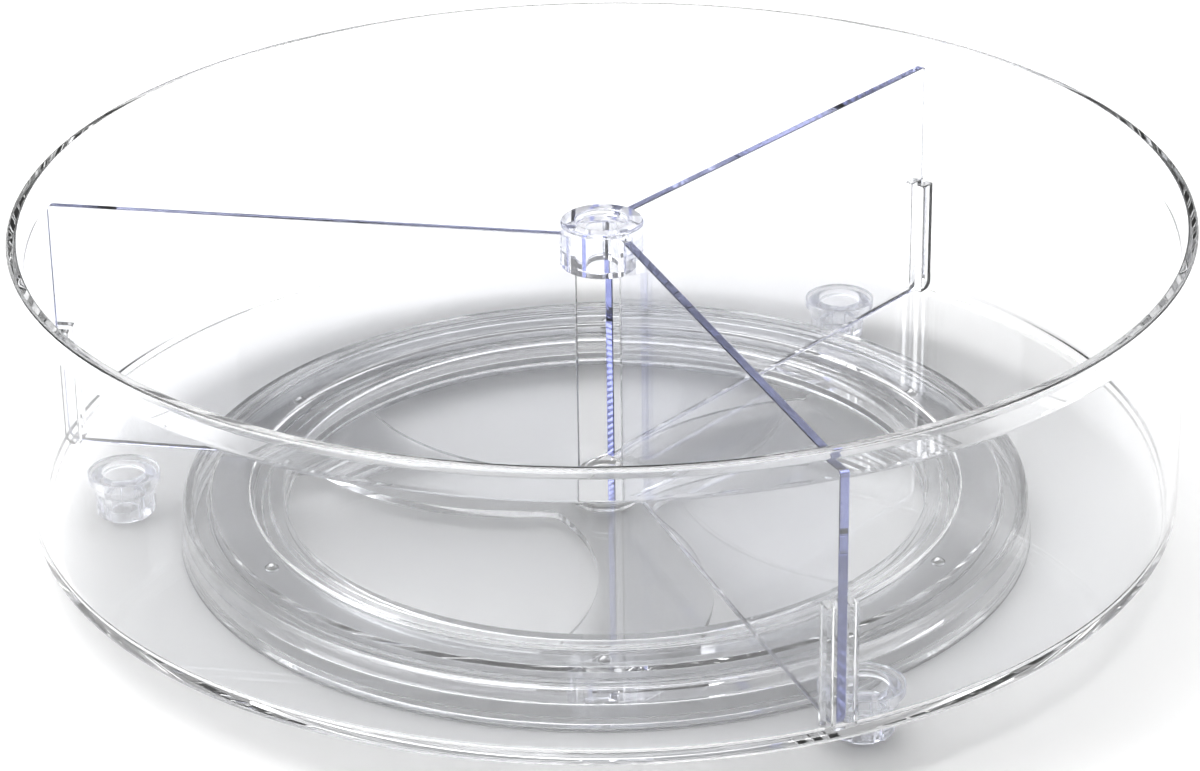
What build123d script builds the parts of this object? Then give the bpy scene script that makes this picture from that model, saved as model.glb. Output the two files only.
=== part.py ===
from build123d import *
import os
from math import cos, radians, sin, sqrt

os.makedirs("parts", exist_ok=True)

# Divided turntable: a clear tray that spins on a low base, with three lift-out divider panels.
# Millimetres. The origin is on the table under the spin axis, and +Z is up.
# A profile is a list of (radius, height) points that is turned about the axis.

# --- driving sizes -------------------------------------------------------------------------
rim_radius = 150.0          # outer edge of the flared rim
rim_overhang = 1.7          # the rim stands out this far over the wall below it
wall_thickness = 2.4
floor_thickness = 2.5
tray_height = 76.8          # underside of the floor to the top of the rim
flare_height = 8.0
rim_width = 2.7             # flat top of the rim
rim_band_height = 2.0       # upright outer face at the top of the flare
rim_outer_edge_radius = 0.8
rim_inner_edge_radius = 0.6
outer_corner_radius = 2.0   # where the wall meets the floor, outside
inner_corner_radius = 2.5

divider_count = 3
divider_thickness = 2.4
divider_below_rim = 7.1     # panel tops under the top of the rim
divider_angle = 170.1       # direction of the first panel, degrees from +X
divider_offset = 3.3        # panels pass beside the axis, not through it
divider_inner_end = 6.3     # along the panel, from the point nearest the axis
divider_corner_radius = 1.5
divider_lower_corner_radius = 5.0  # clears the rounded inside corner of the tray
divider_side_gap = 0.25     # on each side, in the wall channels and the floor grooves
divider_end_gap = 0.4
seat_gap = 0.1              # under a panel and over a panel, so that lifted pieces never rub

channel_height = 32.5       # ribs above the tray floor
channel_depth = 4.5
rib_thickness = 2.6
groove_depth = 0.8          # shallow floor grooves under the panels
groove_overrun = 7.0        # grooves run on past the panel's inner edge

cap_radius = 10.7
cap_height = 12.1
cap_above_panel = 2.9       # cap top over the panel tops
cap_bore_radius = 4.2
cap_recess_radius = 6.7
cap_recess_depth = 1.6
cap_edge_radius = 0.6

ball_diameter = 3.175       # 1/8 inch steel bearing ball
ball_count = 6
ball_circle_inset = 52.0    # ball circle inside the tray wall
first_ball_angle = 29.5
ball_play = 0.05            # between ball and race, and between ball and tray
pocket_clearance = 0.2
cage_inner_width = 4.0      # cage inside the ball circle
cage_outer_width = 7.2      # cage outside the ball circle
cage_thickness = 1.0
cage_play = 0.4             # radial gap between the cage and the sides of its channel

track_height = 1.9          # ring-shaped track under the tray floor that rolls on the balls
track_margin = 0.6          # the track is this much narrower than the cage on each side

race_height = 8.0           # top of the ball race above the table
base_plate_thickness = 2.0
ledge_height = 1.8          # ledges beside the ball channel, above the race
rail_height = 3.6           # inner and outer rails, above the race
ledge_width = 4.0
outer_rail_width = 2.3
inner_rail_width = 4.0
rail_edge_radius = 0.9
skirt_flare = 1.2           # the skirt is this much wider at the table than at its top
skirt_wall = 2.3
ring_thickness = 0.8        # non-slip ring under the skirt
ring_width = 3.6
foot_flange_height = 1.6    # inward step at the bottom of the skirt that carries the ring

spoke_count = 3
spoke_plate_top = 5.6
lobe_margin = 0.8           # lobes run a little way under the inner rail
lobe_concave_radius = 0.834          # shares of the radius inside the inner rail
lobe_concave_center = (-0.262, 0.745)
lobe_convex_radius = 0.763
lobe_convex_center = (-0.787, -0.5185)
lobe_corner_radius = 6.0

hub_boss_radius = 8.7
hub_boss_height = 0.6       # above the spoke plate
washer_radius = 7.75
washer_thickness = 0.6
well_clearance = 0.8        # around the pin head
well_wall = 1.6
well_bottom = 1.6
pin_radius = 2.6
running_clearance = 0.05    # radial, pin in the tray's well
hub_clearance = 0.03        # radial, pin in the base hub
axial_play = 0.1
pin_head_overhang = 1.6
pin_head_height = 1.4
pin_head_edge_radius = 0.4
pin_barb_overhang = 0.4
pin_barb_height = 1.0
barb_lead_in = 0.4
pin_slit = 1.0
retainer_width = 2.2
retainer_thickness = 0.6

foot_count = 3
foot_circle_inset = 21.3    # foot centres inside the tray wall
first_foot_angle = 178.3
foot_flange_radius = 9.7
foot_flange_thickness = 2.6
foot_top_radius = 8.35
foot_bottom_radius = 7.75
foot_bore_radius = 5.7
foot_lower_bore_radius = 3.9
foot_floor = 2.0
foot_step = 4.2             # depth of the narrow lower bore
foot_edge_radius = 1.2
foot_flange_edge_radius = 0.8
foot_table_gap = 1.0        # the feet stay just clear of the table
flute_count = 6
flute_width = 2.4
flute_height = 5.5
flute_depth = 1.2

# --- places worked out from the driving sizes ------------------------------------------------
wall_radius = rim_radius - rim_overhang
ball_circle_radius = wall_radius - ball_circle_inset
foot_circle_radius = wall_radius - foot_circle_inset
race_top = race_height
ball_center_height = race_top + ball_play + ball_diameter / 2
track_bottom = ball_center_height + ball_diameter / 2 + ball_play
tray_bottom = track_bottom + track_height
floor_top = tray_bottom + floor_thickness
rim_top = tray_bottom + tray_height
inner_wall_radius = wall_radius - wall_thickness
flare_bottom = rim_top - flare_height

panel_bottom = floor_top - groove_depth + seat_gap
panel_top = rim_top - divider_below_rim
channel_gap = divider_thickness + 2 * divider_side_gap
channel_inner_radius = inner_wall_radius - channel_depth
cap_top = panel_top + cap_above_panel
cap_bottom = cap_top - cap_height

cage_inner_radius = ball_circle_radius - cage_inner_width
cage_outer_radius = ball_circle_radius + cage_outer_width
cage_bottom = ball_center_height - cage_thickness / 2
channel_outer_radius = cage_outer_radius + cage_play
race_inner_radius = cage_inner_radius - cage_play
outer_rail_radius = channel_outer_radius + ledge_width
skirt_top_radius = outer_rail_radius + outer_rail_width
skirt_bottom_radius = skirt_top_radius + skirt_flare
inner_rail_radius = race_inner_radius - ledge_width
inner_opening_radius = inner_rail_radius - inner_rail_width
ledge_top = race_top + ledge_height
rail_top = race_top + rail_height
race_bottom = race_top - base_plate_thickness
spoke_plate_bottom = spoke_plate_top - base_plate_thickness
spoke_rim_radius = inner_rail_radius + base_plate_thickness

pin_head_radius = pin_radius + pin_head_overhang
pin_barb_radius = pin_radius + pin_barb_overhang
retainer_radius = pin_radius + retainer_width
well_radius = pin_head_radius + well_clearance
hub_boss_top = spoke_plate_top + hub_boss_height
washer_top = hub_boss_top + washer_thickness
well_underside = washer_top + axial_play
well_floor = well_underside + well_bottom
pin_head_bottom = well_floor + axial_play
retainer_top = spoke_plate_bottom - axial_play
retainer_bottom = retainer_top - retainer_thickness

panel_angles = [divider_angle + 360 / divider_count * i for i in range(divider_count)]


# --- helpers ---------------------------------------------------------------------------------
def turned(points):
    """Solid of revolution about +Z from a closed (radius, height) outline."""
    outline = Polyline(*points, close=True)
    return revolve(Plane.XZ * make_face(outline), Axis.Z)


def cylinder(radius, low, high):
    """Upright cylinder between two heights."""
    base_center = (Align.CENTER, Align.CENTER, Align.MIN)
    return Pos(0, 0, low) * Cylinder(radius, high - low, align=base_center)


def panel_frame(angle):
    """Frame whose X runs outward along a panel's middle plane, from the point nearest the axis."""
    return Rot(0, 0, angle) * Pos(0, divider_offset, 0)


def block(x_low, x_high, width, z_low, z_high):
    """Box that is centred on Y."""
    low_corner = (Align.MIN, Align.CENTER, Align.MIN)
    return Pos(x_low, 0, z_low) * Box(x_high - x_low, width, z_high - z_low, align=low_corner)


def reach(radius, half_width):
    """How far along a panel's plane a strip of this half width stays inside a radius."""
    return sqrt(radius ** 2 - (divider_offset + half_width) ** 2)


def round_edges(solid, radius, test):
    """Fillet the edges that pass the test."""
    return fillet([edge for edge in solid.edges() if test(edge)], radius)


def edge_at(radius, height):
    """Test for a circular edge of this radius at this height."""
    def test(edge):
        if edge.geom_type != GeomType.CIRCLE:
            return False
        return abs(edge.radius - radius) < 0.01 and abs(edge.center().Z - height) < 0.01
    return test


# --- tray ------------------------------------------------------------------------------------
def tray_shell():
    """Floor, wall, flared rim and centre well, turned in one piece."""
    boss_radius = well_radius + well_wall
    pin_hole = pin_radius + running_clearance
    shell = turned([
        (pin_hole, well_underside),
        (boss_radius, well_underside),
        (boss_radius, tray_bottom),
        (cage_inner_radius + track_margin, tray_bottom),
        (cage_inner_radius + track_margin, track_bottom),
        (cage_outer_radius - track_margin, track_bottom),
        (cage_outer_radius - track_margin, tray_bottom),
        (wall_radius, tray_bottom),
        (wall_radius, flare_bottom),
        (rim_radius, rim_top - rim_band_height),
        (rim_radius, rim_top),
        (rim_radius - rim_width, rim_top),
        (inner_wall_radius, flare_bottom),
        (inner_wall_radius, floor_top),
        (well_radius, floor_top),
        (well_radius, well_floor),
        (pin_hole, well_floor),
    ])
    shell = round_edges(shell, outer_corner_radius, edge_at(wall_radius, tray_bottom))
    shell = round_edges(shell, inner_corner_radius, edge_at(inner_wall_radius, floor_top))
    shell = round_edges(shell, rim_outer_edge_radius, edge_at(rim_radius, rim_top))
    return round_edges(shell, rim_inner_edge_radius, edge_at(rim_radius - rim_width, rim_top))


def wall_channel(angle):
    """Pair of upright ribs on the wall that a panel's outer edge slides into."""
    half_width = channel_gap / 2 + rib_thickness
    outer_end = reach(wall_radius - wall_thickness / 2, half_width)
    top = floor_top + channel_height
    ribs = block(channel_inner_radius, outer_end, 2 * half_width, floor_top - 1, top)
    slot = block(channel_inner_radius - 1, outer_end + 1, channel_gap, floor_top - 2, top + 1)
    return panel_frame(angle) * (ribs - slot)


def floor_groove(angle):
    """Shallow groove in the floor that a panel's lower edge stands in."""
    outer_end = reach(inner_wall_radius - inner_corner_radius, channel_gap / 2)
    start = divider_inner_end - groove_overrun
    groove = block(start, outer_end, channel_gap, floor_top - groove_depth, floor_top + 1)
    return panel_frame(angle) * groove


def tray():
    body = tray_shell()
    for angle in panel_angles:
        body += wall_channel(angle)
    for angle in panel_angles:
        body -= floor_groove(angle)
    return body


# --- dividers and hub cap --------------------------------------------------------------------
def divider_panel(angle):
    """Flat panel on edge, with its outer corners cut clear of the wall's inside corner."""
    outer_end = reach(inner_wall_radius - divider_end_gap, divider_thickness / 2)
    panel = block(divider_inner_end, outer_end, divider_thickness, panel_bottom, panel_top)
    outer_edges = panel.edges().filter_by(Axis.Y).group_by(Axis.X)[-1]
    panel = fillet(outer_edges.sort_by(Axis.Z)[-1], divider_corner_radius)
    lower_edge = panel.edges().filter_by(Axis.Y).group_by(Axis.Z)[0].sort_by(Axis.X)[-1]
    panel = fillet(lower_edge, divider_lower_corner_radius)
    return panel_frame(angle) * panel


def hub_cap():
    """Round cap with a dished top and three slots that drop over the panels."""
    cap = cylinder(cap_radius, cap_bottom, cap_top)
    cap = round_edges(cap, cap_edge_radius, edge_at(cap_radius, cap_top))
    cap -= cylinder(cap_recess_radius, cap_top - cap_recess_depth, cap_top + 1)
    slot_top = panel_top + seat_gap
    cap -= cylinder(cap_bore_radius, cap_bottom - 1, slot_top)
    slot_start = divider_inner_end - divider_end_gap
    slot = block(slot_start, cap_radius + 2, channel_gap, cap_bottom - 1, slot_top)
    for angle in panel_angles:
        cap -= panel_frame(angle) * slot
    return cap


# --- feet under the tray ---------------------------------------------------------------------
def tray_foot(angle):
    """Fluted cup that is fixed under the floor and stops the tray from tipping."""
    bottom = foot_table_gap
    flange_bottom = tray_bottom - foot_flange_thickness
    bore_bottom = bottom + foot_floor + foot_step
    foot = turned([
        (0, bottom),
        (foot_bottom_radius, bottom),
        (foot_top_radius, flange_bottom),
        (foot_flange_radius, flange_bottom),
        (foot_flange_radius, tray_bottom),
        (foot_bore_radius, tray_bottom),
        (foot_bore_radius, bore_bottom),
        (foot_lower_bore_radius, bore_bottom),
        (foot_lower_bore_radius, bottom + foot_floor),
        (0, bottom + foot_floor),
    ])
    foot = round_edges(foot, foot_edge_radius, edge_at(foot_bottom_radius, bottom))
    foot = round_edges(foot, foot_flange_edge_radius, edge_at(foot_flange_radius, flange_bottom))
    flute_inner = foot_bottom_radius - flute_depth
    flute_outer = foot_flange_radius + 1
    flute = block(flute_inner, flute_outer, flute_width, bottom - 1, bottom + flute_height)
    for i in range(flute_count):
        foot -= Rot(0, 0, 360 / flute_count * i) * flute
    return Rot(0, 0, angle) * Pos(foot_circle_radius, 0, 0) * foot


# --- base ------------------------------------------------------------------------------------
def spoke_lobe():
    """Opening between two curved spokes: inside one large circle and outside another."""
    low = spoke_plate_bottom - 1
    high = spoke_plate_top + 1
    size = inner_opening_radius
    convex_place = Pos(lobe_convex_center[0] * size, lobe_convex_center[1] * size, 0)
    concave_place = Pos(lobe_concave_center[0] * size, lobe_concave_center[1] * size, 0)
    lobe = cylinder(size + lobe_margin, low, high)
    lobe &= convex_place * cylinder(lobe_convex_radius * size, low, high)
    lobe -= concave_place * cylinder(lobe_concave_radius * size, low, high)
    uprights = lobe.edges().filter_by(Axis.Z)
    inner_corner = uprights.sort_by(lambda edge: edge.center().X ** 2 + edge.center().Y ** 2)[0]
    return fillet(inner_corner, lobe_corner_radius)


def base_ring():
    """Skirt, and the ball race between two rails."""
    foot_inner_radius = skirt_bottom_radius - ring_width
    foot_top = ring_thickness + foot_flange_height
    ring = turned([
        (inner_opening_radius, spoke_plate_top),
        (spoke_rim_radius, spoke_plate_top),
        (spoke_rim_radius, race_bottom),
        (skirt_top_radius - skirt_wall, race_bottom),
        (foot_inner_radius + 1, foot_top),
        (foot_inner_radius, foot_top),
        (foot_inner_radius, ring_thickness),
        (skirt_bottom_radius, ring_thickness),
        (skirt_top_radius, rail_top),
        (outer_rail_radius, rail_top),
        (outer_rail_radius, ledge_top),
        (channel_outer_radius, ledge_top),
        (channel_outer_radius, race_top),
        (race_inner_radius, race_top),
        (race_inner_radius, ledge_top),
        (inner_rail_radius, ledge_top),
        (inner_rail_radius, rail_top),
        (inner_opening_radius, rail_top),
    ])
    ring = round_edges(ring, rail_edge_radius, edge_at(skirt_top_radius, rail_top))
    return round_edges(ring, rail_edge_radius, edge_at(inner_opening_radius, rail_top))


def spoke_plate():
    """Plate under the inner rail, with three curved spokes and the hub boss."""
    pin_hole = pin_radius + hub_clearance
    plate = cylinder(spoke_rim_radius, spoke_plate_bottom, spoke_plate_top)
    plate += cylinder(hub_boss_radius, spoke_plate_top, hub_boss_top)
    plate -= cylinder(pin_hole, spoke_plate_bottom - 1, hub_boss_top + 1)
    lobe = spoke_lobe()
    for i in range(spoke_count):
        plate -= Rot(0, 0, 360 / spoke_count * i) * lobe
    return plate


def non_slip_ring():
    """Clear soft ring under the skirt that grips the table."""
    disc = cylinder(skirt_bottom_radius, 0, ring_thickness)
    return disc - cylinder(skirt_bottom_radius - ring_width, -1, ring_thickness + 1)


# --- bearing ---------------------------------------------------------------------------------
def ball_angles():
    return [first_ball_angle + 360 / ball_count * i for i in range(ball_count)]


def at_ball(angle):
    """Place of a ball on its circle."""
    turn = radians(angle)
    return Pos(ball_circle_radius * cos(turn), ball_circle_radius * sin(turn), 0)


def ball_cage():
    """Flat ring with a round pocket for each ball."""
    top = cage_bottom + cage_thickness
    cage = cylinder(cage_outer_radius, cage_bottom, top)
    cage -= cylinder(cage_inner_radius, cage_bottom - 1, top + 1)
    pocket = cylinder(ball_diameter / 2 + pocket_clearance, cage_bottom - 1, top + 1)
    for angle in ball_angles():
        cage -= at_ball(angle) * pocket
    return cage


def ball(angle):
    return at_ball(angle) * Pos(0, 0, ball_center_height) * Sphere(ball_diameter / 2)


# --- pivot -----------------------------------------------------------------------------------
def pivot_pin():
    """Headed pin with a split, barbed lower end that snaps through the retaining washer."""
    barb_top = retainer_bottom - axial_play
    barb_bottom = barb_top - pin_barb_height
    head_top = pin_head_bottom + pin_head_height
    pin = turned([
        (0, barb_bottom),
        (pin_radius - barb_lead_in, barb_bottom),
        (pin_barb_radius, barb_top),
        (pin_radius, barb_top),
        (pin_radius, pin_head_bottom),
        (pin_head_radius, pin_head_bottom),
        (pin_head_radius, head_top),
        (0, head_top),
    ])
    pin = round_edges(pin, pin_head_edge_radius, edge_at(pin_head_radius, head_top))
    slit_half = pin_barb_radius + 1
    return pin - block(-slit_half, slit_half, pin_slit, barb_bottom - 1, hub_boss_top - 1)


def washer(radius, low, high):
    """Flat washer that the pivot pin passes through."""
    return cylinder(radius, low, high) - cylinder(pin_radius + running_clearance, low - 1, high + 1)


# --- write every sub-part --------------------------------------------------------------------
def save(name, solid):
    export_step(solid, f"parts/{name}.step")


save("tray", tray())
save("base_ring", base_ring())
save("spoke_plate", spoke_plate())
save("non_slip_ring", non_slip_ring())
save("hub_cap", hub_cap())
save("ball_cage", ball_cage())
save("pivot_pin", pivot_pin())
save("thrust_washer", washer(washer_radius, hub_boss_top, washer_top))
save("retaining_washer", washer(retainer_radius, retainer_bottom, retainer_top))
for number, angle in enumerate(panel_angles, start=1):
    save(f"divider_panel_{number}", divider_panel(angle))
for number in range(1, foot_count + 1):
    foot_angle = first_foot_angle + 360 / foot_count * (number - 1)
    save(f"tray_foot_{number}", tray_foot(foot_angle))
for number, angle in enumerate(ball_angles(), start=1):
    save(f"ball_{number}", ball(angle))
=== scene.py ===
import math

import bmesh
import bpy
from mathutils import Matrix, Vector


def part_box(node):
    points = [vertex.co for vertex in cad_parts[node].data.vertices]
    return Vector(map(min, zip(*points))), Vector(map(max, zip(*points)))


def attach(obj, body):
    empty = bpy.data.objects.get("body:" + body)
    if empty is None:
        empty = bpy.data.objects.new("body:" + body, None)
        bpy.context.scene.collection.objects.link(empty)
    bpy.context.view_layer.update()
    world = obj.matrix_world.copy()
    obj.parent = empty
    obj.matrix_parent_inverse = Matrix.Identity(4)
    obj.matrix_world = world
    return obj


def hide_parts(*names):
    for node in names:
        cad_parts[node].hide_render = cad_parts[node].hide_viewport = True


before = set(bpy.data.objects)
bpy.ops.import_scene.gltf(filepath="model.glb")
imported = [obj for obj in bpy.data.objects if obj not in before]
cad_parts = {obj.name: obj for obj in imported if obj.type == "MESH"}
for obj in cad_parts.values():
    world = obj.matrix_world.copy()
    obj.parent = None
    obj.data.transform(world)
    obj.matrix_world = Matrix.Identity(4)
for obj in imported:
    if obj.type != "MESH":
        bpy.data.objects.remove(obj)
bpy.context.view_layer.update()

# Metres. The origin is on the table under the spin axis, and +Z is up.
MM = 0.001

# --- sizes read from the frame --------------------------------------------------------------
tray_low, tray_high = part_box("tray")
panel_low, panel_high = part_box("divider_panel_1")
cap_low, cap_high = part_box("hub_cap")
foot_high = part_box("tray_foot_1")[1]
base_low, base_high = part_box("base_ring")
ring_low, ring_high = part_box("non_slip_ring")
cage_low, cage_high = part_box("ball_cage")
pin_low, pin_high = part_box("pivot_pin")
thrust_low, thrust_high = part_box("thrust_washer")
retainer_low, retainer_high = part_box("retaining_washer")

# Tray wall and floor
RIM_RADIUS = tray_high.x
RIM_TOP = tray_high.z
RIM_OVERHANG = 1.7 * MM       # how far the rim band stands out from the wall
WALL = 2.4 * MM
WALL_RADIUS = RIM_RADIUS - RIM_OVERHANG
INNER_WALL = WALL_RADIUS - WALL
TRAY_BOTTOM = foot_high.z
FLOOR_TOP = TRAY_BOTTOM + 2.5 * MM

# Panels stand beside the spin axis, each in a channel between two ribs.
PANEL_ANGLES = [170.1, 290.1, 50.1]
PANEL_OFFSET = 3.3 * MM       # from the spin axis to a panel's middle plane
PANEL_HALF = 1.2 * MM
PANEL_INNER_END = 6.3 * MM
CHANNEL_HALF = 1.45 * MM
CHANNEL_TOP = FLOOR_TOP + 32.5 * MM
CHANNEL_INNER = INNER_WALL - 4.5 * MM
RIB_THICKNESS = 2.6 * MM

PIN_HOLE = 2.65 * MM          # bore of the tray and the washers round the pivot pin
AIR_GAP = 0.04 * MM           # film of air between pieces that touch
THROUGH = 1 * MM              # how far a cutter runs past the faces that it opens

RING_SEGMENTS = 288           # of the large turned pieces


# --- mesh helpers ---------------------------------------------------------------------------
def arc_corner(before, corner, after, radius, steps):
    """Points of a fillet between two straight sides of an outline."""
    a, b, c = Vector(before), Vector(corner), Vector(after)
    u, v = (a - b).normalized(), (c - b).normalized()
    angle = u.angle(v)
    cut = radius / math.tan(angle / 2)
    room = 0.49 * min((a - b).length, (c - b).length)
    if cut > room:
        cut = room
        radius = cut * math.tan(angle / 2)
    centre = b + (u + v).normalized() * radius / math.sin(angle / 2)
    start, end = b + u * cut - centre, b + v * cut - centre
    turn = start.angle_signed(end)
    points = []
    for i in range(steps + 1):
        t = -turn * i / steps
        x = start.x * math.cos(t) - start.y * math.sin(t)
        y = start.x * math.sin(t) + start.y * math.cos(t)
        points.append((centre.x + x, centre.y + y))
    return points


def outline(points, steps=4):
    """Closed outline from (x, y) or (x, y, fillet radius) corners."""
    made = []
    for i, point in enumerate(points):
        before, after = points[i - 1], points[(i + 1) % len(points)]
        if len(point) == 3 and point[2] > 0:
            made += arc_corner(before[:2], point[:2], after[:2], point[2], steps)
        else:
            made.append(tuple(point[:2]))
    return made


def new_object(name, bm, sharp_degrees=30):
    bmesh.ops.remove_doubles(bm, verts=bm.verts, dist=1e-7)
    bmesh.ops.recalc_face_normals(bm, faces=bm.faces)
    mesh = bpy.data.meshes.new(name)
    bm.to_mesh(mesh)
    bm.free()
    obj = bpy.data.objects.new(name, mesh)
    bpy.context.scene.collection.objects.link(obj)
    shade(obj, sharp_degrees)
    return obj


def shade(obj, sharp_degrees=30):
    mesh = obj.data
    mesh.polygons.foreach_set("use_smooth", [True] * len(mesh.polygons))
    mesh.set_sharp_from_angle(angle=math.radians(sharp_degrees))


def apply_modifiers(obj):
    """Replaces an object's mesh with its evaluated one."""
    graph = bpy.context.evaluated_depsgraph_get()
    mesh = bpy.data.meshes.new_from_object(obj.evaluated_get(graph))
    obj.modifiers.clear()
    old = obj.data
    obj.data = mesh
    bpy.data.meshes.remove(old)
    mesh.name = obj.name


def settle_normals(obj):
    """Large faces keep their own direction, and only the small fillet faces blend."""
    modifier = obj.modifiers.new("flat_faces", "WEIGHTED_NORMAL")
    modifier.mode = "FACE_AREA"
    modifier.weight = 100
    modifier.keep_sharp = True
    apply_modifiers(obj)


def lathe(name, profile, segments):
    """Closed solid of revolution about Z from an outline of (radius, height) points."""
    bm = bmesh.new()
    rings = []
    for radius, height in profile:
        if radius < 1e-7:
            rings.append([bm.verts.new((0, 0, height))])
            continue
        ring = []
        for i in range(segments):
            a = 2 * math.pi * i / segments
            ring.append(bm.verts.new((radius * math.cos(a), radius * math.sin(a), height)))
        rings.append(ring)
    for k, ring in enumerate(rings):
        other = rings[(k + 1) % len(rings)]
        if len(ring) == 1 and len(other) == 1:
            continue
        for i in range(segments):
            j = (i + 1) % segments
            corners = [ring[i % len(ring)], ring[j % len(ring)],
                       other[j % len(other)], other[i % len(other)]]
            bm.faces.new(list(dict.fromkeys(corners)))
    return new_object(name, bm)


def prism(name, points, low, high, bevel=0.0, steps=2):
    """Upright prism with its outline in XY, and its sharp edges rounded if bevel is given."""
    bm = bmesh.new()
    bottom = [bm.verts.new((x, y, low)) for x, y in points]
    top = [bm.verts.new((x, y, high)) for x, y in points]
    bm.faces.new(bottom)
    bm.faces.new(top)
    for i in range(len(points)):
        j = (i + 1) % len(points)
        bm.faces.new((bottom[i], bottom[j], top[j], top[i]))
    bmesh.ops.recalc_face_normals(bm, faces=bm.faces)
    if bevel > 0:
        sharp = math.radians(40)
        edges = [e for e in bm.edges if len(e.link_faces) == 2 and e.calc_face_angle() > sharp]
        bmesh.ops.bevel(bm, geom=edges, offset=bevel, segments=steps, profile=0.5,
                        affect="EDGES", clamp_overlap=True)
    return new_object(name, bm)


def strip(start, end, low, high):
    """Rectangle from start to end in X and from low to high in Y."""
    return [(start, low), (end, low), (end, high), (start, high)]


def cut(obj, cutter, operation="DIFFERENCE"):
    """Applies an exact boolean, and removes the cutter."""
    modifier = obj.modifiers.new("cut", "BOOLEAN")
    modifier.operation = operation
    modifier.solver = "EXACT"
    modifier.object = cutter
    apply_modifiers(obj)
    bpy.data.objects.remove(cutter)
    shade(obj)
    return obj


def turn(obj, degrees, shift=(0, 0, 0)):
    """Shifts the mesh, then turns it about Z."""
    matrix = Matrix.Rotation(math.radians(degrees), 4, "Z") @ Matrix.Translation(shift)
    obj.data.transform(matrix)
    return obj


def reach(radius, half_width):
    """How far along a panel's plane a strip of this half width stays inside a radius."""
    return math.sqrt(radius ** 2 - (PANEL_OFFSET + half_width) ** 2)


def finish_piece(obj, material, body, slot, *nodes):
    """Settles the normals, sets the material and body, and hides the CAD nodes it replaces. The
    slot is not used.
    """
    settle_normals(obj)
    obj.data.materials.clear()
    obj.data.materials.append(material)
    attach(obj, body)
    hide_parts(*nodes)
    return obj


# --- materials ------------------------------------------------------------------------------
def base_material(name):
    material = bpy.data.materials.new(name)
    material.use_nodes = True
    nodes, links = material.node_tree.nodes, material.node_tree.links
    shader = nodes["Principled BSDF"]
    coordinates = nodes.new("ShaderNodeTexCoord")
    return material, nodes, links, shader, coordinates


def noise(nodes, links, coordinates, scale, detail=3.0, roughness=0.5, stretch=(1, 1, 1)):
    mapping = nodes.new("ShaderNodeMapping")
    mapping.inputs["Scale"].default_value = stretch
    links.new(coordinates.outputs["Object"], mapping.inputs["Vector"])
    texture = nodes.new("ShaderNodeTexNoise")
    texture.inputs["Scale"].default_value = scale
    texture.inputs["Detail"].default_value = detail
    texture.inputs["Roughness"].default_value = roughness
    links.new(mapping.outputs["Vector"], texture.inputs["Vector"])
    return texture


def ramp(nodes, links, source, low, high, values):
    """Colour ramp from a texture's factor between two limits."""
    node = nodes.new("ShaderNodeValToRGB")
    node.color_ramp.elements[0].position = low
    node.color_ramp.elements[1].position = high
    for element, value in zip(node.color_ramp.elements, values):
        element.color = value if len(value) == 4 else (*value, 1)
    links.new(source, node.inputs["Fac"])
    return node


def grey(value):
    return (value, value, value, 1)


def roughen(nodes, links, shader, source, low, high, values):
    """Roughness that varies with a texture's factor."""
    rough = ramp(nodes, links, source, low, high, [grey(value) for value in values])
    links.new(rough.outputs["Color"], shader.inputs["Roughness"])


def bump(nodes, links, shader, source, strength, distance):
    node = nodes.new("ShaderNodeBump")
    node.inputs["Strength"].default_value = strength
    node.inputs["Distance"].default_value = distance
    links.new(source, node.inputs["Height"])
    links.new(node.outputs["Normal"], shader.inputs["Normal"])


def clear_plastic(name, tint, roughness, bump_strength, density=0.0):
    """Clear moulded plastic with faint flow ripples, and tinted depth if it has a density."""
    material, nodes, links, shader, coordinates = base_material(name)
    shader.inputs["Transmission Weight"].default_value = 1.0
    shader.inputs["IOR"].default_value = 1.53
    cloud = noise(nodes, links, coordinates, scale=22.0, detail=1.0, roughness=0.55).outputs["Fac"]
    darker = tuple(c * 0.985 for c in tint)
    colour = ramp(nodes, links, cloud, low=0.35, high=0.65, values=(darker, tint))
    links.new(colour.outputs["Color"], shader.inputs["Base Color"])
    roughen(nodes, links, shader, cloud, low=0.60, high=0.78, values=roughness)
    flow = noise(nodes, links, coordinates, scale=35.0, detail=0.0, roughness=0.4,
                 stretch=(1, 1, 0.35))
    bump(nodes, links, shader, flow.outputs["Fac"], bump_strength, distance=0.4 * MM)
    if density > 0:
        volume = nodes.new("ShaderNodeVolumeAbsorption")
        volume.inputs["Color"].default_value = (0.55, 0.59, 0.88, 1)
        volume.inputs["Density"].default_value = density
        links.new(volume.outputs["Volume"], nodes["Material Output"].inputs["Volume"])
    return material


def metal(name, roughness, scale):
    """Bright steel with cloudy tone and roughness, and a fine grain."""
    material, nodes, links, shader, coordinates = base_material(name)
    shader.inputs["Metallic"].default_value = 1.0
    cloud = noise(nodes, links, coordinates, scale, detail=4.0, roughness=0.6).outputs["Fac"]
    colour = ramp(nodes, links, cloud, low=0.35, high=0.7, values=(grey(0.42), grey(0.34)))
    links.new(colour.outputs["Color"], shader.inputs["Base Color"])
    roughen(nodes, links, shader, cloud, low=0.3, high=0.75, values=roughness)
    grain = noise(nodes, links, coordinates, scale * 4, detail=2.0)
    bump(nodes, links, shader, grain.outputs["Fac"], strength=0.05, distance=0.1 * MM)
    return material


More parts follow.
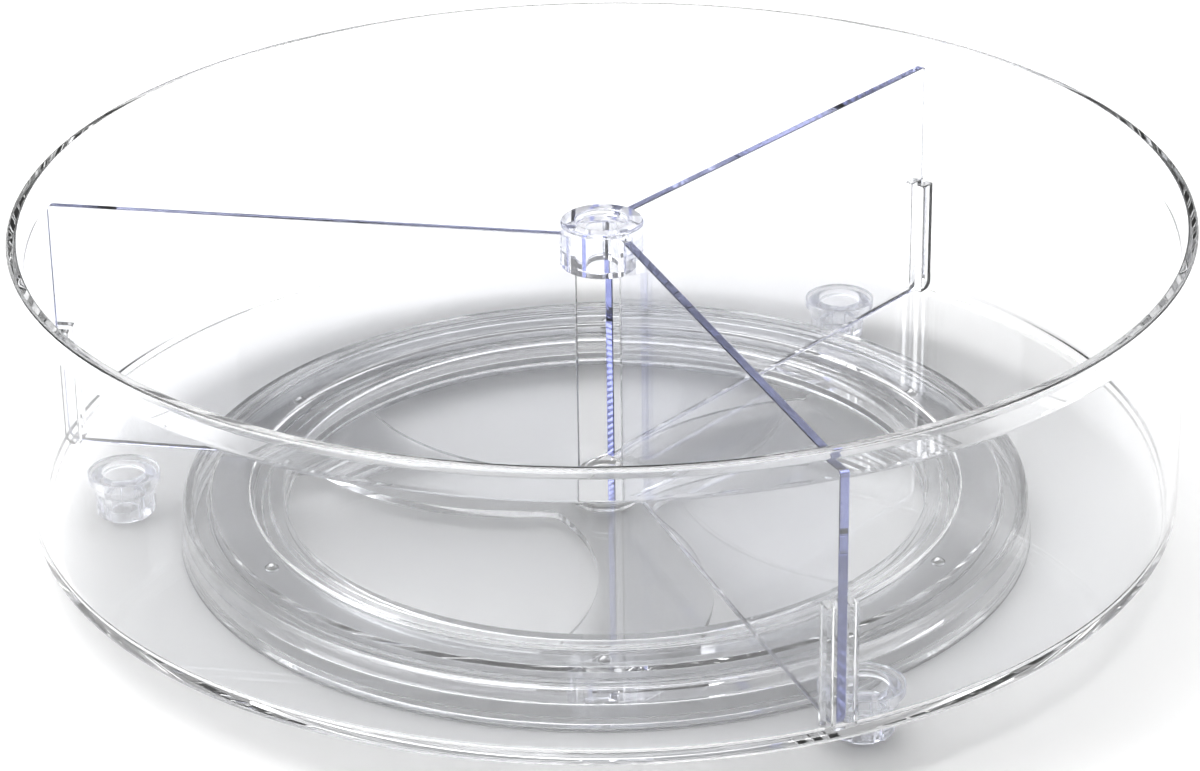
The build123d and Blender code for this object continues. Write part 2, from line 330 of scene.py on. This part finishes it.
def translucent(name, light, dark, roughness, transmission, scale, bump_strength):
    """Milky or soft plastic, with cloudy colour and roughness and a fine grain."""
    material, nodes, links, shader, coordinates = base_material(name)
    shader.inputs["Transmission Weight"].default_value = transmission
    shader.inputs["IOR"].default_value = 1.45
    cloud = noise(nodes, links, coordinates, scale, detail=4.0, roughness=0.6).outputs["Fac"]
    colour = ramp(nodes, links, cloud, low=0.3, high=0.7, values=(light, dark))
    links.new(colour.outputs["Color"], shader.inputs["Base Color"])
    roughen(nodes, links, shader, cloud, low=0.3, high=0.7, values=(roughness, roughness * 1.35))
    grain = noise(nodes, links, coordinates, scale * 9, detail=2.0)
    bump(nodes, links, shader, grain.outputs["Fac"], bump_strength, distance=0.2 * MM)
    return material


TRAY_PLASTIC = clear_plastic(
    "tray_clear_plastic", tint=(0.982, 0.986, 0.994), roughness=(0.0, 0.010), bump_strength=0.012)
PANEL_PLASTIC = clear_plastic(
    "panel_clear_plastic", tint=(0.982, 0.986, 0.995), roughness=(0.0, 0.012), bump_strength=0.01,
    density=15.0)
CAP_PLASTIC = clear_plastic(
    "small_parts_clear_plastic", tint=(0.965, 0.970, 0.982), roughness=(0.0, 0.02),
    bump_strength=0.03, density=9.0)
BASE_PLASTIC = clear_plastic(
    "base_clear_plastic", tint=(0.988, 0.991, 0.997), roughness=(0.0, 0.02), bump_strength=0.012)
BALL_STEEL = metal("bearing_steel_polished", roughness=(0.04, 0.10), scale=300.0)
WASHER_STEEL = metal("washer_steel_satin", roughness=(0.22, 0.36), scale=400.0)
CAGE_PLASTIC = translucent(
    "cage_smoke_plastic", light=(0.93, 0.935, 0.95), dark=(0.88, 0.885, 0.90), roughness=0.08,
    transmission=0.92, scale=90.0, bump_strength=0.06)
RING_RUBBER = translucent(
    "clear_soft_ring", light=(0.94, 0.945, 0.96), dark=(0.90, 0.905, 0.92), roughness=0.15,
    transmission=0.9, scale=120.0, bump_strength=0.1)
NYLON = translucent(
    "natural_nylon", light=(0.90, 0.90, 0.88), dark=(0.84, 0.84, 0.82), roughness=0.30,
    transmission=0.35, scale=150.0, bump_strength=0.2)


# --- tray -----------------------------------------------------------------------------------
def make_tray():
    """Walled tray with a centre well, a track that runs on the balls, and the panel channels."""
    well_low = tray_low.z
    well_floor = well_low + 1.6 * MM
    well_inner, well_outer = 5 * MM, 6.6 * MM
    track_low, track_inner, track_outer = TRAY_BOTTOM - 1.9 * MM, 92.9 * MM, 102.9 * MM
    flare_low = RIM_TOP - 8 * MM          # where the wall starts to lean out to the rim
    band_low = RIM_TOP - 2 * MM           # underside of the rim's upright edge
    band_width = 2.7 * MM
    edge, lip_outside, lip_inside = 0.3 * MM, 0.8 * MM, 0.6 * MM
    band_fillet, flare_fillet = 2 * MM, 6 * MM
    bottom_corner, floor_corner = 2 * MM, 2.5 * MM
    well_fillet, well_floor_fillet = 0.4 * MM, 0.2 * MM
    profile = outline([
        (PIN_HOLE, well_low),
        (well_outer, well_low, edge),
        (well_outer, TRAY_BOTTOM, well_fillet),
        (track_inner, TRAY_BOTTOM, edge),
        (track_inner, track_low, edge),
        (track_outer, track_low, edge),
        (track_outer, TRAY_BOTTOM, edge),
        (WALL_RADIUS, TRAY_BOTTOM, bottom_corner),
        (WALL_RADIUS, flare_low, flare_fillet),
        (RIM_RADIUS, band_low, band_fillet),
        (RIM_RADIUS, RIM_TOP, lip_outside),
        (RIM_RADIUS - band_width, RIM_TOP, lip_inside),
        (INNER_WALL, flare_low, flare_fillet),
        (INNER_WALL, FLOOR_TOP, floor_corner),
        (well_inner, FLOOR_TOP, well_fillet),
        (well_inner, well_floor, well_floor_fillet),
        (PIN_HOLE, well_floor),
    ], steps=5)
    tray = lathe("tray_visual", profile, RING_SEGMENTS)

    half = CHANNEL_HALF + RIB_THICKNESS
    rib_root = FLOOR_TOP - 1 * MM
    rib_outer = reach(WALL_RADIUS - WALL / 2, half)
    groove_low = FLOOR_TOP - 0.8 * MM
    groove_start = PANEL_INNER_END - 7 * MM
    groove_end = reach(INNER_WALL - floor_corner, CHANNEL_HALF)
    for number, angle in enumerate(PANEL_ANGLES):
        for side in (-1, 1):
            y0, y1 = sorted((side * CHANNEL_HALF, side * half))
            points = strip(CHANNEL_INNER, rib_outer, y0, y1)
            rib = prism(f"rib_{number}_{side}", points, rib_root, CHANNEL_TOP,
                        bevel=0.45 * MM, steps=3)
            cut(tray, turn(rib, angle, (0, PANEL_OFFSET, 0)), "UNION")
        points = strip(groove_start, groove_end, -CHANNEL_HALF, CHANNEL_HALF)
        groove = prism(f"groove_{number}", points, groove_low, FLOOR_TOP + THROUGH)
        cut(tray, turn(groove, angle, (0, PANEL_OFFSET, 0)))
    return tray


finish_piece(make_tray(), TRAY_PLASTIC, "tray", "clear_plastic", "tray")


# --- dividers and cap -----------------------------------------------------------------------
def make_panel(number, angle):
    """Panel outline in its own plane, stood upright and turned into place."""
    low, high = panel_low.z, panel_high.z
    outer = reach(INNER_WALL - 0.4 * MM, PANEL_HALF)
    inner_corner, bottom_corner, top_corner = 0.3 * MM, 5.0 * MM, 1.5 * MM
    points = outline([
        (PANEL_INNER_END, low, inner_corner),
        (outer, low, bottom_corner),
        (outer, high, top_corner),
        (PANEL_INNER_END, high, inner_corner),
    ], steps=6)
    name = f"divider_panel_{number}_visual"
    panel = prism(name, points, -PANEL_HALF, PANEL_HALF, bevel=0.28 * MM, steps=3)
    panel.data.transform(Matrix.Rotation(math.radians(90), 4, "X"))
    panel.data.transform(Matrix.Translation((0, PANEL_OFFSET, 0)))
    return turn(panel, angle)


for number, angle in enumerate(PANEL_ANGLES, 1):
    panel, node = make_panel(number, angle), f"divider_panel_{number}"
    finish_piece(panel, PANEL_PLASTIC, "dividers", "clear_plastic", node)


def make_cap():
    """Round cap with a dished top, hollow below and slotted over the three panels."""
    low, high = cap_low.z, cap_high.z
    radius = cap_high.x
    hollow, dish = 4.2 * MM, 6.7 * MM
    dish_floor = high - 1.6 * MM
    slot_top = panel_high.z + 0.1 * MM
    fine, edge, top_edge = 0.3 * MM, 0.5 * MM, 0.8 * MM
    profile = outline([
        (hollow, low, fine),
        (radius, low, edge),
        (radius, high, top_edge),
        (dish, high, edge),
        (dish, dish_floor, edge),
        (0, dish_floor),
        (0, slot_top),
        (hollow, slot_top, fine),
    ], steps=5)
    cap = lathe("hub_cap_visual", profile, segments=144)
    start, end = PANEL_INNER_END - 0.4 * MM, radius + 2 * MM
    for number, angle in enumerate(PANEL_ANGLES):
        points = strip(start, end, -CHANNEL_HALF, CHANNEL_HALF)
        slot = prism(f"slot_{number}", points, low - THROUGH, slot_top, bevel=0.2 * MM)
        cut(cap, turn(slot, angle, (0, PANEL_OFFSET, 0)))
    return cap


finish_piece(make_cap(), CAP_PLASTIC, "cap", "clear_plastic", "hub_cap")


# --- feet -----------------------------------------------------------------------------------
def make_foot(node):
    """Hollow peg with a flange under the tray floor and six flutes round its lower end."""
    low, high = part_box(node)
    centre = (low + high) / 2
    bottom, top = low.z, high.z - AIR_GAP
    peg_bottom, peg_top, flange = 7.75 * MM, 8.35 * MM, 9.7 * MM
    bore, blind_bore = 5.7 * MM, 3.9 * MM
    flange_low = top - 2.6 * MM
    step, blind_floor = bottom + 6.2 * MM, bottom + 2 * MM
    fine, step_edge, edge = 0.3 * MM, 0.4 * MM, 0.5 * MM
    bottom_round, flange_round = 1.2 * MM, 0.8 * MM
    profile = outline([
        (0, bottom),
        (peg_bottom, bottom, bottom_round),
        (peg_top, flange_low, edge),
        (flange, flange_low, flange_round),
        (flange, top, fine),
        (bore, top, edge),
        (bore, step, edge),
        (blind_bore, step, step_edge),
        (blind_bore, blind_floor, edge),
        (0, blind_floor),
    ], steps=4)
    foot = lathe(node + "_visual", profile, segments=96)
    flutes, flute_start, flute_end, flute_half = 6, 6.55 * MM, 11 * MM, 1.2 * MM
    flute_top = bottom + 5.5 * MM
    for i in range(flutes):
        points = strip(flute_start, flute_end, -flute_half, flute_half)
        flute = prism("flute", points, bottom - THROUGH, flute_top, bevel=0.35 * MM)
        cut(foot, turn(flute, 360 / flutes * i))
    foot.data.transform(Matrix.Rotation(math.atan2(centre.y, centre.x), 4, "Z"))
    foot.data.transform(Matrix.Translation((centre.x, centre.y, 0)))
    return foot


for node in ("tray_foot_1", "tray_foot_2", "tray_foot_3"):
    finish_piece(make_foot(node), CAP_PLASTIC, "tray", "clear_plastic", node)


# --- base -----------------------------------------------------------------------------------
def meet(a, b):
    """The two points where circles (x, y, radius) cross."""
    (ax, ay, ar), (bx, by, br) = a, b
    dx, dy = bx - ax, by - ay
    d = math.hypot(dx, dy)
    along = (ar ** 2 - br ** 2 + d ** 2) / (2 * d)
    side = math.sqrt(max(ar ** 2 - along ** 2, 0))
    mx, my = ax + dx / d * along, ay + dy / d * along
    return [(mx - dy / d * side, my + dx / d * side), (mx + dy / d * side, my - dx / d * side)]


def nearest(points, target):
    return min(points, key=lambda p: math.hypot(p[0] - target[0], p[1] - target[1]))


def touch(circle, other_centre):
    """Point of a circle on the line to another circle's centre."""
    x, y, radius = circle
    dx, dy = other_centre[0] - x, other_centre[1] - y
    d = math.hypot(dx, dy)
    return (x + dx / d * radius, y + dy / d * radius)


def sweep(circle, start, end, steps):
    """Points along a circle, the short way from start to end."""
    x, y, radius = circle
    a = math.atan2(start[1] - y, start[0] - x)
    b = math.atan2(end[1] - y, end[0] - x)
    delta = (b - a + math.pi) % (2 * math.pi) - math.pi
    turns = [a + delta * i / steps for i in range(steps + 1)]
    return [(x + radius * math.cos(t), y + radius * math.sin(t)) for t in turns]


def lobe_outline():
    """Opening between two spokes: inside two circles and outside a third, with a rounded tip."""
    # Circles as (x, y, radius) in millimetres.
    inside = (0.0, 0.0, 84.7)
    convex = (-66.0, -43.5, 64.0)
    concave = (-22.0, 62.5, 70.0)
    tip = 6.0
    hub, far_side, near_side = (0, 0), (-80, 20), (0, -80)
    long_arc, short_arc, tip_arc = 60, 4, 12      # steps

    tip_corner = nearest(meet(convex, concave), hub)
    far_corner = nearest(meet(convex, concave), far_side)
    start = nearest(meet(inside, convex), near_side)
    end = nearest(meet(inside, convex), far_side)
    convex_less = (convex[0], convex[1], convex[2] - tip)
    concave_more = (concave[0], concave[1], concave[2] + tip)
    tip_centre = nearest(meet(convex_less, concave_more), tip_corner)
    on_convex, on_concave = touch(convex, tip_centre), touch(concave, tip_centre)

    points = sweep(inside, start, end, long_arc)
    points += sweep(convex, end, far_corner, short_arc)[1:]
    points += sweep(concave, far_corner, on_concave, long_arc)[1:]
    points += sweep((*tip_centre, tip), on_concave, on_convex, tip_arc)[1:]
    points += sweep(convex, on_convex, start, long_arc)[1:-1]
    return [(x * MM, y * MM) for x, y in points]


def make_base():
    """Ball track between two rails on a flared skirt, with the spoked plate inside it."""
    bottom, top = base_low.z, base_high.z
    race = top - 3.6 * MM                 # the balls roll here
    ledge = race + 1.8 * MM
    under = race - 2 * MM
    plate_low, plate_top = 3.6 * MM, 5.6 * MM
    rail_inner, rail_outer = 83.9 * MM, 110.2 * MM
    ledge_inner, ledge_outer = 87.9 * MM, 107.9 * MM
    race_inner, race_outer = 91.9 * MM, 103.9 * MM
    plate_radius = 89.9 * MM
    lip, lip_height = 107.8 * MM, bottom + 1.6 * MM
    boss, boss_top = 8.7 * MM, plate_top + 0.6 * MM
    hole = 2.63 * MM
    fine, edge, race_fillet, rounded = 0.2 * MM, 0.3 * MM, 0.4 * MM, 0.5 * MM
    skirt_fillet, rail_round = 0.6 * MM, 0.9 * MM
    profile = outline([
        (hole, plate_low),
        (plate_radius, plate_low, rounded),
        (plate_radius, under, edge),
        (ledge_outer, under, skirt_fillet),
        (lip + 1 * MM, lip_height, edge),
        (lip, lip_height, edge),
        (lip, bottom, edge),
        (base_high.x, bottom, edge),
        (rail_outer, top, rail_round),
        (ledge_outer, top, rounded),
        (ledge_outer, ledge, rounded),
        (race_outer, ledge, rounded),
        (race_outer, race, race_fillet),
        (race_inner, race, race_fillet),
        (race_inner, ledge, rounded),
        (ledge_inner, ledge, rounded),
        (ledge_inner, top, rounded),
        (rail_inner, top, rail_round),
        (rail_inner, plate_top, skirt_fillet),
        (boss, plate_top, rounded),
        (boss, boss_top, fine),
        (hole, boss_top),
    ], steps=5)
    base = lathe("base_visual", profile, RING_SEGMENTS)
    lobe = lobe_outline()
    spokes, just_over = 3, 0.001 * MM
    for i in range(spokes):
        cutter = prism(f"lobe_{i}", lobe, plate_low - THROUGH, plate_top + just_over)
        cut(base, turn(cutter, 360 / spokes * i))
    return base


finish_piece(make_base(), BASE_PLASTIC, "base", "clear_plastic", "base_ring", "spoke_plate")


def make_ring():
    low, high = ring_low.z, ring_high.z - AIR_GAP
    outer = ring_high.x
    inner = outer - 3.6 * MM
    edge = 0.25 * MM
    profile = outline([(x, z, edge) for x, z in strip(inner, outer, low, high)], steps=3)
    return lathe("non_slip_ring_visual", profile, RING_SEGMENTS)


finish_piece(make_ring(), RING_RUBBER, "base", "soft_ring", "non_slip_ring")


# --- bearing --------------------------------------------------------------------------------
BALLS = [f"ball_{i}" for i in range(1, 7)]


def make_cage():
    """Flat ring with a round pocket for each ball."""
    low, high = cage_low.z, cage_high.z
    outer = cage_high.x
    inner = outer - 11.2 * MM
    edge = 0.2 * MM
    profile = outline([(x, z, edge) for x, z in strip(inner, outer, low, high)], steps=3)
    cage = lathe("ball_cage_visual", profile, RING_SEGMENTS)
    steps = 48
    turns = [2 * math.pi * i / steps for i in range(steps)]
    for node in BALLS:
        ball_low, ball_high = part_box(node)
        centre = (ball_low + ball_high) / 2
        hole = (ball_high.x - ball_low.x) / 2 + 0.2 * MM
        circle = [(hole * math.cos(t), hole * math.sin(t)) for t in turns]
        pocket = prism("pocket", circle, low - THROUGH, high + THROUGH)
        pocket.data.transform(Matrix.Translation((centre.x, centre.y, 0)))
        cut(cage, pocket)
    return cage


finish_piece(make_cage(), CAGE_PLASTIC, "bearing", "cage_plastic", "ball_cage")


def make_ball(node):
    """Bearing ball, turned from a half circle about its own upright axis."""
    low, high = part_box(node)
    centre = (low + high) / 2
    radius = (high.z - low.z) / 2
    steps = 24
    turns = [math.pi * i / steps for i in range(1, steps)]
    profile = [(radius * math.sin(t), -radius * math.cos(t)) for t in turns]
    obj = lathe(node + "_visual", [(0, -radius), *profile, (0, radius)], segments=48)
    obj.data.transform(Matrix.Translation(centre))
    return obj


for node in BALLS:
    finish_piece(make_ball(node), BALL_STEEL, "bearing", "bearing_steel", node)


# --- pivot ----------------------------------------------------------------------------------
def make_pin():
    """Headed pin with a barbed lower end, split so that it can snap in."""
    low, high = pin_low.z, pin_high.z
    head, barb = high - 1.4 * MM, low + 1.0 * MM
    tip_radius, barb_radius, shaft_radius, head_radius = 2.2 * MM, 3.0 * MM, 2.6 * MM, 4.2 * MM
    barb_edge, edge, head_edge = 0.1 * MM, 0.2 * MM, 0.4 * MM
    profile = outline([
        (0, low),
        (tip_radius, low, edge),
        (barb_radius, barb, barb_edge),
        (shaft_radius, barb),
        (shaft_radius, head),
        (head_radius, head, edge),
        (head_radius, high, head_edge),
        (0, high),
    ], steps=4)
    pin = lathe("pivot_pin_visual", profile, segments=72)
    slit_reach, slit_half, slit_height = 4 * MM, 0.5 * MM, 3.4 * MM
    points = strip(-slit_reach, slit_reach, -slit_half, slit_half)
    return cut(pin, prism("slit", points, low - THROUGH, low + slit_height))


finish_piece(make_pin(), CAP_PLASTIC, "base", "clear_plastic", "pivot_pin")


def make_washer(node, low, high):
    bottom, top = low.z + AIR_GAP, high.z - AIR_GAP
    bore_edge, outer_edge = 0.1 * MM, 0.15 * MM
    profile = outline([
        (PIN_HOLE, bottom, bore_edge),
        (high.x, bottom, outer_edge),
        (high.x, top, outer_edge),
        (PIN_HOLE, top, bore_edge),
    ], steps=3)
    return lathe(node + "_visual", profile, segments=96)


thrust_washer = make_washer("thrust_washer", thrust_low, thrust_high)
finish_piece(thrust_washer, NYLON, "base", "washer_nylon", "thrust_washer")
retaining_washer = make_washer("retaining_washer", retainer_low, retainer_high)
finish_piece(retaining_washer, WASHER_STEEL, "base", "washer_steel", "retaining_washer")


# --- floor, light and camera ----------------------------------------------------------------
def floor_plane():
    material, nodes, links, shader, coordinates = base_material("studio_floor")
    cloud = noise(nodes, links, coordinates, scale=1.5, detail=2.0).outputs["Fac"]
    colour = ramp(nodes, links, cloud, low=0.3, high=0.7, values=(grey(0.945), grey(0.955)))
    links.new(colour.outputs["Color"], shader.inputs["Base Color"])
    shader.inputs["Roughness"].default_value = 0.9
    shader.inputs["Specular IOR Level"].default_value = 0.1
    half_width, height = 8.0, -0.2 * MM       # a hair below the table face of the base
    bm = bmesh.new()
    corners = strip(-half_width, half_width, -half_width, half_width)
    bm.faces.new([bm.verts.new((x, y, height)) for x, y in corners])
    floor = new_object("studio_floor", bm)
    floor.data.materials.append(material)


def area_light(name, place, target, size, power):
    data = bpy.data.lights.new(name, "AREA")
    data.shape = "RECTANGLE"
    data.size, data.size_y = size
    data.energy = power
    lamp = bpy.data.objects.new(name, data)
    lamp.location = place
    direction = Vector(target) - Vector(place)
    lamp.rotation_mode = "QUATERNION"
    lamp.rotation_quaternion = direction.to_track_quat("-Z", "Y")
    bpy.context.scene.collection.objects.link(lamp)


def studio_world():
    """Pale to the camera itself; for light and reflections dim near the horizon, bright above."""
    world = bpy.data.worlds.new("studio_world")
    world.use_nodes = True
    nodes, links = world.node_tree.nodes, world.node_tree.links
    coordinates = nodes.new("ShaderNodeTexCoord")
    split = nodes.new("ShaderNodeSeparateXYZ")
    links.new(coordinates.outputs["Generated"], split.inputs["Vector"])
    shades = ramp(nodes, links, split.outputs["Z"], low=0.08, high=0.75,
                  values=(grey(0.04), grey(0.50)))
    links.new(shades.outputs["Color"], nodes["Background"].inputs["Color"])
    pale = nodes.new("ShaderNodeBackground")
    pale.inputs["Color"].default_value = grey(0.98)
    seen = nodes.new("ShaderNodeLightPath")
    either = nodes.new("ShaderNodeMixShader")
    links.new(seen.outputs["Is Camera Ray"], either.inputs["Fac"])
    links.new(nodes["Background"].outputs["Background"], either.inputs[1])
    links.new(pale.outputs["Background"], either.inputs[2])
    links.new(either.outputs["Shader"], nodes["World Output"].inputs["Surface"])
    bpy.context.scene.world = world


def studio():
    floor_plane()
    studio_world()
    area_light("top_softbox", place=(-0.5, 0.5, 2.4), target=(0, 0, 0), size=(3.4, 3.0), power=98.0)
    area_light("left_softbox", place=(-2.4, -0.2, 1.3), target=(0, 0, 0.05), size=(1.6, 1.6),
               power=22.0)
    area_light("right_softbox", place=(2.4, 0.6, 1.1), target=(0, 0, 0.05), size=(1.4, 1.4),
               power=13.0)


def camera():
    """The photograph's view: high in front of the tray, with a long lens."""
    place = (0, -0.9095, 0.4738)
    forward = Vector((-0.00103, 0.9022, -0.4313)).normalized()
    up = Vector((0.0134, 0.4313, 0.9022))
    data = bpy.data.cameras.new("camera")
    data.sensor_width = 36.0
    data.lens = 116.7
    data.clip_start, data.clip_end = 0.01, 50.0
    cam = bpy.data.objects.new("camera", data)
    right = forward.cross(up).normalized()
    up = right.cross(forward)
    turned = Matrix((right, up, -forward)).transposed()
    cam.matrix_world = Matrix.Translation(place) @ turned.to_4x4()
    bpy.context.scene.collection.objects.link(cam)
    bpy.context.scene.camera = cam


studio()
camera()
scene = bpy.context.scene
scene.view_settings.view_transform = "Standard"
# Light crosses many clear walls, and totally reflected light counts as glossy.
scene.cycles.max_bounces = 34
scene.cycles.transmission_bounces = 30
scene.cycles.glossy_bounces = 32
scene.cycles.diffuse_bounces = 2
scene.cycles.transparent_max_bounces = 16
scene.cycles.caustics_refractive = True
